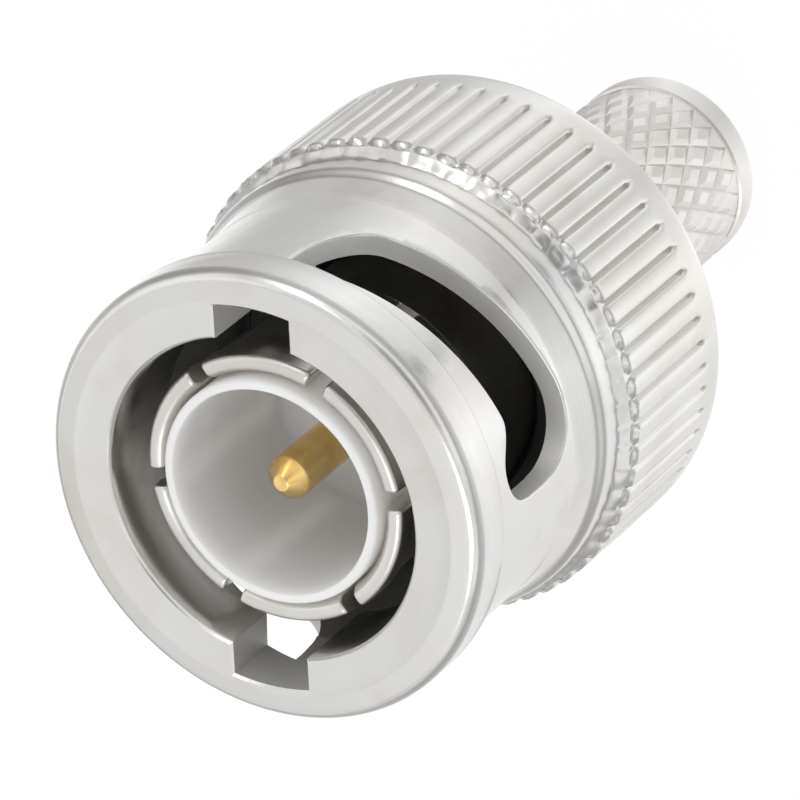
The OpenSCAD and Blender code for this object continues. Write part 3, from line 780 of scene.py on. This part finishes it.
stage = {
    "floor": (0.86, 0.86, 0.86), "whiten": 0.93, "brightest": 1.6,
    "sectors": [(0.0, 0.95), (0.18, 1.15), (0.27, 1.45), (0.38, 0.92), (0.5, 1.3), (0.6, 0.76), (0.68, 0.68),
                (0.76, 1.3), (0.9, 1.05)],  # light round the object, by the share of a turn
    "distances": [(0.0, 1.0), (0.23, 1.0), (0.27, 1.12), (0.33, 0.8), (0.55, 0.62), (1.0, 0.55)], "reach": 0.1,
    "stand": (0.0205, -0.0212, 0), "standSize": (0.0015, 0.0045), "standLevel": 0.25,
    "tent": (0.85, 1.22), "horizon": 0.55, "tentScale": 1.6, "opening": (0.444, -0.457, 0.771), "openingLevel": 0.35,
}


def rangeOf(tree, source, low, high, first, last):
    node = nodeOf(tree, "ShaderNodeMapRange", interpolation_type="SMOOTHSTEP")
    for socket, value in zip(list(node.inputs)[1:5], (low, high, first, last)):
        socket.default_value = value
    tree.links.new(source, node.inputs["Value"])
    return node.outputs[0]


def product(tree, a, b):
    node = nodeOf(tree, "ShaderNodeMath", operation="MULTIPLY")
    tree.links.new(a, node.inputs[0])
    if isinstance(b, float):
        node.inputs[1].default_value = b
    else:
        tree.links.new(b, node.inputs[1])
    return node.outputs[0]


def distanceTo(tree, where, spot):
    node = nodeOf(tree, "ShaderNodeVectorMath", operation="DISTANCE")
    tree.links.new(where, node.inputs[0])
    node.inputs[1].default_value = spot
    return node.outputs["Value"]


def pickFloat(tree, factor, a, b):
    node = nodeOf(tree, "ShaderNodeMix", data_type="FLOAT")
    tree.links.new(factor, node.inputs["Factor"])
    tree.links.new(a, node.inputs["A"])
    node.inputs["B"].default_value = b
    return node.outputs["Result"]


# white to the eye; metal sees a floor whose light changes round the object and away from it
def makeFloor():
    floor = addPiece("floor", [(-1500, -1500, 0), (1500, -1500, 0), (1500, 1500, 0), (-1500, 1500, 0)], [(0, 1, 2, 3)])
    material, tree, shader = newMaterial("studioFloor")
    link = tree.links.new
    shader.inputs["Base Color"].default_value = (*stage["floor"], 1)
    shader.inputs["Roughness"].default_value = 0.9
    top = stage["brightest"]
    rays = nodeOf(tree, "ShaderNodeLightPath")
    where = nodeOf(tree, "ShaderNodeTexCoord").outputs["Object"]
    sweep = nodeOf(tree, "ShaderNodeTexGradient", gradient_type="RADIAL")
    link(where, sweep.inputs[0])
    sectors = ramp(tree, sweep.outputs["Fac"], [(p, (v / top,) * 3) for p, v in stage["sectors"]])
    away = distanceTo(tree, where, (0, 0, 0))
    reach = nodeOf(tree, "ShaderNodeMapRange")
    reach.inputs["From Max"].default_value = stage["reach"]
    link(away, reach.inputs["Value"])
    distances = ramp(tree, reach.outputs[0], [(p, (v,) * 3) for p, v in stage["distances"]])
    stand = rangeOf(tree, distanceTo(tree, where, stage["stand"]), *stage["standSize"], stage["standLevel"], 1.0)
    tone = product(tree, product(tree, sectors, distances), stand)
    seen = nodeOf(tree, "ShaderNodeMath", operation="MAXIMUM")
    link(rays.outputs["Is Camera Ray"], seen.inputs[0])
    link(rays.outputs["Is Glossy Ray"], seen.inputs[1])
    glow = nodeOf(tree, "ShaderNodeEmission")
    link(product(tree, pickFloat(tree, rays.outputs["Is Camera Ray"], tone, 1.02 / top), top), glow.inputs["Strength"])
    blend = nodeOf(tree, "ShaderNodeMixShader")
    link(product(tree, seen.outputs[0], stage["whiten"]), blend.inputs[0])
    link(shader.outputs[0], blend.inputs[1])
    link(glow.outputs[0], blend.inputs[2])
    link(blend.outputs[0], tree.nodes["Material Output"].inputs["Surface"])
    floor.data.materials.append(material)


# a white tent with soft folds and a darker opening: plain white to the eye, uneven where metal mirrors it
def makeTent():
    world = bpy.data.worlds.new("tent")
    bpy.context.scene.world = world
    world.use_nodes = True
    tree = world.node_tree
    link = tree.links.new
    rays = nodeOf(tree, "ShaderNodeLightPath")
    where = nodeOf(tree, "ShaderNodeTexCoord").outputs["Generated"]
    folds = nodeOf(tree, "ShaderNodeTexNoise", Scale=stage["tentScale"], Detail=1.5, Distortion=0.4)
    link(where, folds.inputs["Vector"])
    level = rangeOf(tree, folds.outputs["Fac"], 0.36, 0.62, *stage["tent"])
    hole = rangeOf(tree, distanceTo(tree, where, stage["opening"]), 0.12, 0.5, stage["openingLevel"], 1.0)
    height = nodeOf(tree, "ShaderNodeSeparateXYZ")
    link(where, height.inputs[0])
    rise = rangeOf(tree, height.outputs[2], 0.0, 0.5, stage["horizon"], 1.0)
    tone = product(tree, product(tree, level, hole), rise)
    back = tree.nodes["Background"]
    back.inputs["Color"].default_value = (1, 1, 1, 1)
    link(pickFloat(tree, rays.outputs["Is Camera Ray"], tone, 1.0), back.inputs["Strength"])


def addSoftbox(name, spot, aim, width, height, power):
    data = bpy.data.lights.new(name, "AREA")
    data.shape = "RECTANGLE"
    data.size, data.size_y, data.energy = width, height, power
    lamp = bpy.data.objects.new(name, data)
    lamp.location = spot
    lamp.rotation_euler = (Vector(aim) - Vector(spot)).to_track_quat("-Z", "Y").to_euler()
    bpy.context.collection.objects.link(lamp)


camera = {
    "azimuth": -45.8, "elevation": 50.42, "roll": -129.57, "distance": 190.0, "aim": (4.33, -4.91, 0.39), "lens": 315.0,
}
softboxes = {  # place, aim, width, height and power, in metres and watts
    "keySoftbox": ((-0.12, -0.10, 0.30), (0, 0, 0.015), 0.16, 0.16, 0.16),
    "sideSoftbox": ((0.25, 0.05, 0.16), (0, 0, 0.015), 0.10, 0.22, 0.08),
}


def makeCamera():
    data = bpy.data.cameras.new("camera")
    data.lens, data.sensor_width = camera["lens"], 36.0
    data.clip_start, data.clip_end = 0.01, 20.0
    view = bpy.data.objects.new("camera", data)
    a, e = math.radians(camera["azimuth"]), math.radians(camera["elevation"])
    back = Vector((math.cos(a) * math.cos(e), math.sin(a) * math.cos(e), math.sin(e)))
    aim = Vector(camera["aim"]) * mm + Vector((0, 0, faceHeight * mm))
    turn = back.to_track_quat("Z", "Y").to_matrix().to_4x4() @ Matrix.Rotation(math.radians(camera["roll"]), 4, "Z")
    view.matrix_world = Matrix.Translation(aim + back * camera["distance"] * mm) @ turn
    bpy.context.collection.objects.link(view)
    bpy.context.scene.camera = view


makeFloor()
makeTent()
for lampName, values in softboxes.items():
    addSoftbox(lampName, *values)
makeCamera()
bpy.context.scene.view_settings.view_transform = "Standard"
print("stage, lights and camera ready")
